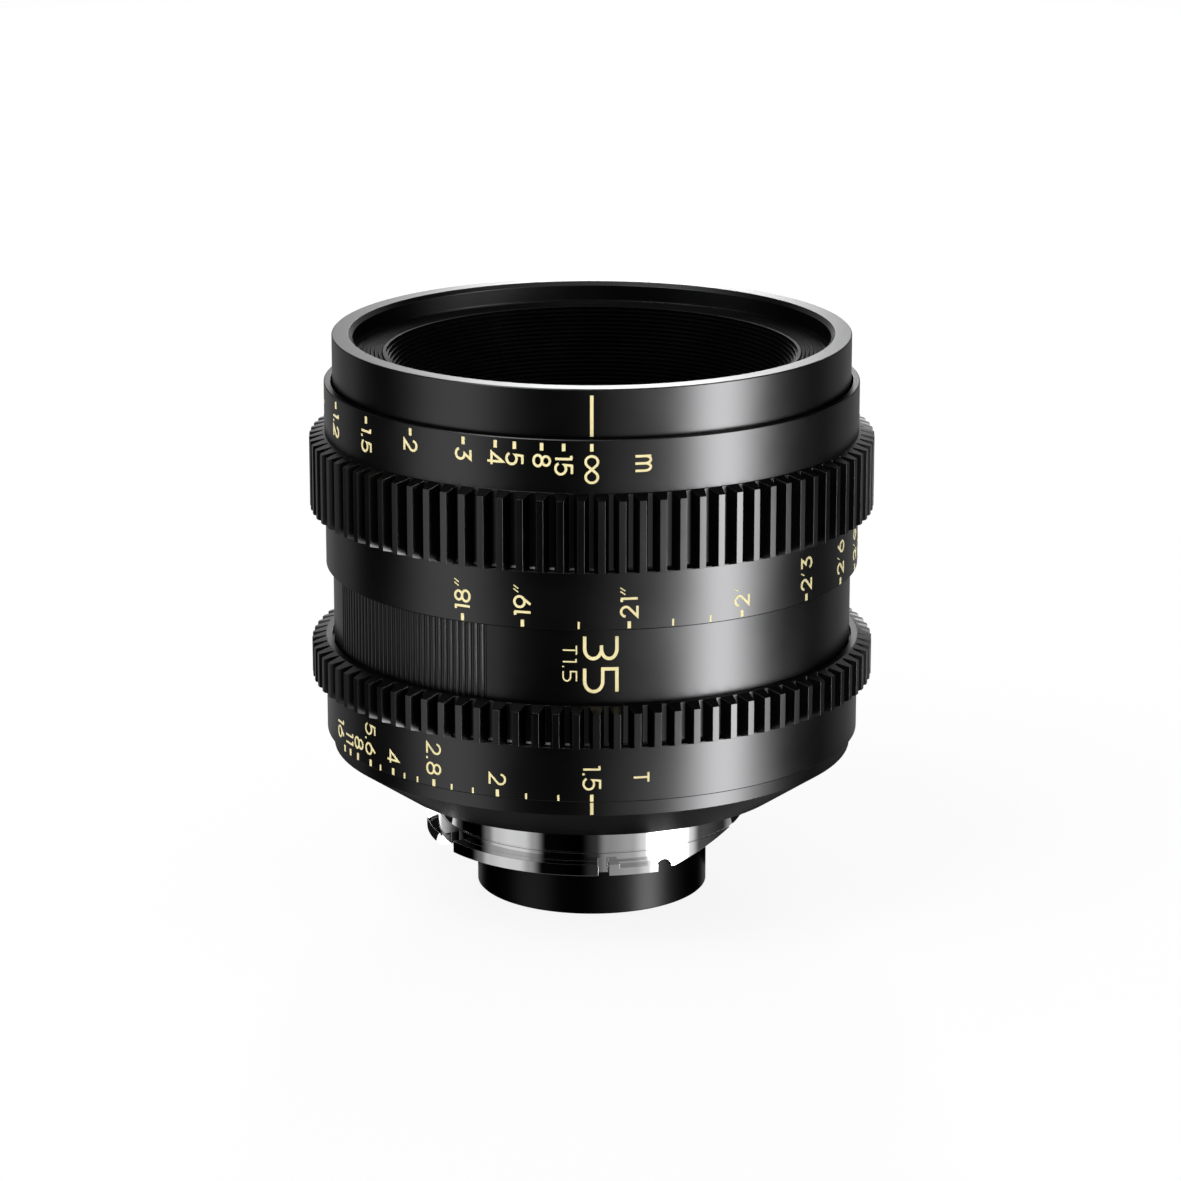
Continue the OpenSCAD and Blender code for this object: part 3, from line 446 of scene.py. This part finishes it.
# Distance scale in feet and inches on the lower part of the focus ring
FEET = {"18\"": -27.65, "19\"": -14.36, "21\"": 7.68, "2'": 32.69, "2'3": 51.38, "2'6": 66.46,
        "2'9": 78.46, "3'": 88.0, "3'6": 102.6, "4'": 113.2, "5'": 127.8, "7'": 143.8, "10'": 155.5,
        "15'": 164.4, "30'": 173.1, "~": 181.7}
FEET_MINOR = (-2.68, 16.9, 25.19)
FEET_TICK = (29.95, 30.9)
FEET_LOW = 31.3
feet_marks = Marks(FOCUS_R)
for label, mark in FEET.items():
    feet_marks.tick(mark, *FEET_TICK, MAJOR_W)
    feet_marks.word(label, mark, FEET_LOW, METRE_H, METRE_W, down=False)
for mark in FEET_MINOR:
    feet_marks.tick(mark, *FEET_TICK, MINOR_W)
feet_marks.make("feet_scale", "focus")

# Stop scale on the iris ring: the numbers end above the ticks
STOPS = {"1.5": 0, "2": -19.87, "2.8": -34.91, "4": -46.45, "5.6": -54.27, "8": -59.53, "11": -63.13,
         "16": -66.17}
STOP_MINOR = (-6.9, -13.65, -25.4, -30.44, -39.27, -43.0, -50.66)
STOP_H = 2.4
STOP_W = 0.32
STOP_TICK = (7.5, 8.45)
STOP_MINOR_TICK = (7.5, 8.3)
STOP_UNIT_MARK = 10.2
STOP_UNIT_TOP = 11.3
STOP_UNIT_H = STOP_H * 0.9
STOP_TEXT_END = 8.95
STOP_TEXT_SHIFT = {"8": 0.48, "11": -0.36, "16": -2.3}
stop_marks = Marks(IRIS_R)
for label, mark in STOPS.items():
    stop_marks.tick(mark, *STOP_TICK, MAJOR_W)
    text_mark = mark + STOP_TEXT_SHIFT.get(label, 0)
    stop_marks.word(label, text_mark, STOP_TEXT_END + word_length(label, STOP_H), STOP_H, STOP_W)
for mark in STOP_MINOR:
    stop_marks.tick(mark, *STOP_MINOR_TICK, MINOR_W)
stop_marks.word("T", STOP_UNIT_MARK, STOP_UNIT_TOP, STOP_UNIT_H, STOP_W)
stop_marks.make("stop_scale", "iris")

# Index lines, focal length and speed on the parts that don't turn
FRONT_INDEX = (54.2, 59.45)
REAR_INDEX = (5.45, 7.1)
FOCAL_MARK = 1.9
FOCAL_TOP = 28.95
FOCAL_H = 4.5
FOCAL_W = 0.48
SPEED_MARK = -4.65
SPEED_TOP = 27.6
SPEED_H = 1.9
SPEED_W = 0.23
front_marks = Marks(FRONT_R)
front_marks.tick(0, *FRONT_INDEX, MAJOR_W)
front_marks.make("front_index", "barrel")
rear_marks = Marks(REAR_R)
rear_marks.tick(0, *REAR_INDEX, MAJOR_W)
rear_marks.make("rear_index", "barrel")
centre_marks = Marks(CENTRE_R)
centre_marks.word(["wide3", "wide5"], FOCAL_MARK, FOCAL_TOP, FOCAL_H, FOCAL_W, gap=WIDE_GAP)
centre_marks.word(["T", "1", ".", "wide5"], SPEED_MARK, SPEED_TOP, SPEED_H, SPEED_W, gap=WIDE_GAP)
centre_marks.make("focal_marks", "barrel")


# Studio

def calculate(tree, operation, *values):
    """A math node on sockets and plain numbers."""
    node = tree.nodes.new("ShaderNodeMath")
    node.operation = operation
    for slot, value in zip(node.inputs, values):
        if isinstance(value, float):
            slot.default_value = value
        else:
            tree.links.new(value, slot)
    return node.outputs["Value"]


def curve(tree, value, low, high, stops):
    """A value that follows the stops, as brightness, between a low and a high end."""
    top = max(stops.values())
    ramp = tree.nodes.new("ShaderNodeValToRGB")
    ramp.color_ramp.interpolation = "EASE"
    elements = ramp.color_ramp.elements
    elements.remove(elements[1])
    for i, (at, strength) in enumerate(stops.items()):
        place = (at - low) / (high - low)
        element = elements.new(place) if i else elements[0]
        element.position = place
        element.color = (strength / top, strength / top, strength / top, 1)
    tree.links.new(remap(tree, value, 0.0, 1.0, low, high), ramp.inputs["Fac"])
    return calculate(tree, "MULTIPLY", ramp.outputs["Color"], top)


# Floor: white to the camera apart from the object's soft shadow
FLOOR_GLOW = 0.88
FLOOR_R = 4.0
FLOOR_STEPS = 64
floor_material, floor_tree, floor_output = new_material("floor_white")
floor_paint = add(floor_tree, "ShaderNodeBsdfDiffuse", Color=(0.86, 0.86, 0.86, 1))
floor_glow = add(floor_tree, "ShaderNodeEmission", Color=(1, 1, 1, 1), Strength=1.0)
floor_path = floor_tree.nodes.new("ShaderNodeLightPath")
floor_seen = calculate(floor_tree, "MAXIMUM", floor_path.outputs["Is Camera Ray"],
                       floor_path.outputs["Is Transmission Ray"])
floor_mix = floor_tree.nodes.new("ShaderNodeMixShader")
floor_tree.links.new(remap(floor_tree, floor_seen, 0.0, FLOOR_GLOW, 0.0, 1.0), floor_mix.inputs["Fac"])
floor_tree.links.new(floor_paint.outputs["BSDF"], floor_mix.inputs[1])
floor_tree.links.new(floor_glow.outputs["Emission"], floor_mix.inputs[2])
floor_tree.links.new(floor_mix.outputs["Shader"], floor_output.inputs["Surface"])
floor_shape = bmesh.new()
bmesh.ops.create_circle(floor_shape, cap_ends=True, segments=FLOOR_STEPS, radius=FLOOR_R)
floor_data = bpy.data.meshes.new("floor")
floor_shape.to_mesh(floor_data)
floor_shape.free()
floor_data.materials.append(floor_material)
floor = bpy.data.objects.new("floor", floor_data)
floor.location.z = floor_height
scene.collection.objects.link(floor)
floor.visible_glossy = False

# Black card on the floor behind the mount, for mirrored rays alone: painted shade, the dark of the
# object's shadow on the floor as the mount mirrors it
CARD_R = 0.08
CARD_HALF_ANGLE = 75
CARD_STEPS = 24
card_material, card_tree, card_output = new_material("card_painted_shade")
card_paint = add(card_tree, "ShaderNodeBsdfDiffuse", Color=(0.02, 0.02, 0.02, 1))
card_tree.links.new(card_paint.outputs["BSDF"], card_output.inputs["Surface"])
card_turns = [math.radians(90 + CARD_HALF_ANGLE * (2 * i / CARD_STEPS - 1))
              for i in range(CARD_STEPS + 1)]
card_rim = [(CARD_R * math.cos(turn), CARD_R * math.sin(turn), 0) for turn in card_turns]
card_data = bpy.data.meshes.new("back_card")
card_data.from_pydata([(0, 0, 0)] + card_rim, [], [list(range(CARD_STEPS + 2))])
card_data.materials.append(card_material)
card = bpy.data.objects.new("back_card", card_data)
card.location.z = floor_height
scene.collection.objects.link(card)
card.visible_camera = False
card.visible_diffuse = False
card.visible_transmission = False
card.visible_shadow = False

# World: white to the camera, a dim fill for scattered light, and a studio that mirrored rays see.
# By mark angle, a bright softbox stands to the right and a wide dim one to the left, black in between.
# The back is bright above the horizon. Below it, it is grey between two white panels.
# The floor straight below is grey, a painted shadow of the object on the floor that mirrors show, and the
# ceiling is pale.
WORLD_FILL = 0.6
LOW_STUDIO = {-180: 0.3, -165: 0.5, -150: 1.3, -138: 1.9, -129: 1.2, -120: 0.1, -112: 0.0, -92: 0.0,
              -84: 0.25, -77: 0.85, -64: 1.05, -52: 1.0, -44: 0.5, -35: 0.002, -8: 0.0, 3: 0.05,
              11: 0.4, 30: 0.6, 40: 1.2, 46: 6.5, 52: 12.8, 62: 14.0, 68: 9.5, 73: 4.0, 79: 1.2,
              88: 0.12, 116: 0.04, 126: 0.4, 138: 1.6, 150: 1.2, 165: 0.5, 180: 0.3}
HIGH_STUDIO = {-180: 4.0, -150: 1.0, -120: 0.02, -92: 0.0, -77: 0.85, -64: 1.05, -52: 1.0, -44: 0.5,
               -35: 0.002, -8: 0.0, 3: 0.05, 11: 0.4, 30: 0.6, 40: 1.2, 46: 6.5, 52: 12.8, 62: 14.0,
               68: 9.5, 73: 4.0, 79: 1.2, 88: 0.12, 120: 0.02, 150: 1.0, 180: 4.0}
BOX_TOP = {-1: 1.0, 0.4: 1.0, 0.6: 0.0, 1: 0.0}
CEILING = {-1: 0.0, 0.78: 0.0, 0.9: 0.4, 1: 0.4}
HORIZON = {-1: 0.0, -0.06: 0.0, 0.04: 1.0, 1: 1.0}
# Straight down, mirrored rays see painted shadow: the floor under the object made grey
NADIR = {-1: 1.0, -0.8: 1.0, -0.45: 0.0, 1: 0.0}
PAINTED_FLOOR_SHADOW = 0.33

world = bpy.data.worlds.new("studio")
scene.world = world
world.use_nodes = True
world_tree = world.node_tree
world_tree.nodes.clear()


def mix_values(tree, share, low, high=None, constant=0.0):
    """A mix of numbers; sockets go by place because their names repeat for other kinds of value."""
    node = tree.nodes.new("ShaderNodeMix")
    tree.links.new(share, node.inputs[0])
    tree.links.new(low, node.inputs[2])
    node.inputs[3].default_value = constant
    if high:
        tree.links.new(high, node.inputs[3])
    return node.outputs[0]


def studio_strength(tree):
    """Brightness of the surroundings by direction."""
    place = tree.nodes.new("ShaderNodeTexCoord")
    parts = tree.nodes.new("ShaderNodeSeparateXYZ")
    tree.links.new(place.outputs["Generated"], parts.inputs["Vector"])
    forward = calculate(tree, "MULTIPLY", parts.outputs["Y"], -1.0)
    turn = calculate(tree, "ARCTAN2", parts.outputs["X"], forward)
    mark = calculate(tree, "DEGREES", turn)
    rise = parts.outputs["Z"]
    walls = curve(tree, mark, -180, 180, LOW_STUDIO)
    below = mix_values(tree, curve(tree, rise, -1, 1, NADIR), walls, constant=PAINTED_FLOOR_SHADOW)
    softboxes = calculate(tree, "MULTIPLY", curve(tree, mark, -180, 180, HIGH_STUDIO),
                          curve(tree, rise, -1, 1, BOX_TOP))
    above = calculate(tree, "MAXIMUM", softboxes, curve(tree, rise, -1, 1, CEILING))
    return mix_values(tree, curve(tree, rise, -1, 1, HORIZON), below, above)


paths = world_tree.nodes.new("ShaderNodeLightPath")
studio = add(world_tree, "ShaderNodeBackground", Color=(1, 1, 1, 1))
world_tree.links.new(studio_strength(world_tree), studio.inputs["Strength"])
seen = add(world_tree, "ShaderNodeBackground", Color=(1, 1, 1, 1), Strength=1.0)
fill = add(world_tree, "ShaderNodeBackground", Color=(1, 1, 1, 1), Strength=WORLD_FILL)
seen_or_fill = world_tree.nodes.new("ShaderNodeMixShader")
straight = calculate(world_tree, "MAXIMUM", paths.outputs["Is Camera Ray"],
                     paths.outputs["Is Transmission Ray"])
world_tree.links.new(straight, seen_or_fill.inputs["Fac"])
world_tree.links.new(fill.outputs["Background"], seen_or_fill.inputs[1])
world_tree.links.new(seen.outputs["Background"], seen_or_fill.inputs[2])
mirrored = world_tree.nodes.new("ShaderNodeMixShader")
world_tree.links.new(paths.outputs["Is Glossy Ray"], mirrored.inputs["Fac"])
world_tree.links.new(seen_or_fill.outputs["Shader"], mirrored.inputs[1])
world_tree.links.new(studio.outputs["Background"], mirrored.inputs[2])
world_output = world_tree.nodes.new("ShaderNodeOutputWorld")
world_tree.links.new(mirrored.outputs["Shader"], world_output.inputs["Surface"])


def area_lamp(name, place, target, size, watts):
    data = bpy.data.lights.new(name, "AREA")
    data.shape = "RECTANGLE"
    data.size, data.size_y = size
    data.energy = watts
    lamp = bpy.data.objects.new(name, data)
    lamp.location = place
    lamp.rotation_mode = "QUATERNION"
    lamp.rotation_quaternion = (Vector(target) - Vector(place)).to_track_quat("-Z", "Y")
    scene.collection.objects.link(lamp)
    return lamp


area_lamp("top_softbox", place=(-0.4, -0.35, 0.8), target=(0, 0, 0.03), size=(0.5, 0.5), watts=4.0)
area_lamp("back_softbox", place=(0.01, 0.75, 0.32), target=(0, 0, 0.06), size=(0.09, 0.26), watts=3.0)
front_fill = area_lamp("front_fill", place=(0, -0.8, 0.12), target=(0, 0, 0.02), size=(0.9, 0.4),
                       watts=3.7)
front_fill.visible_glossy = False
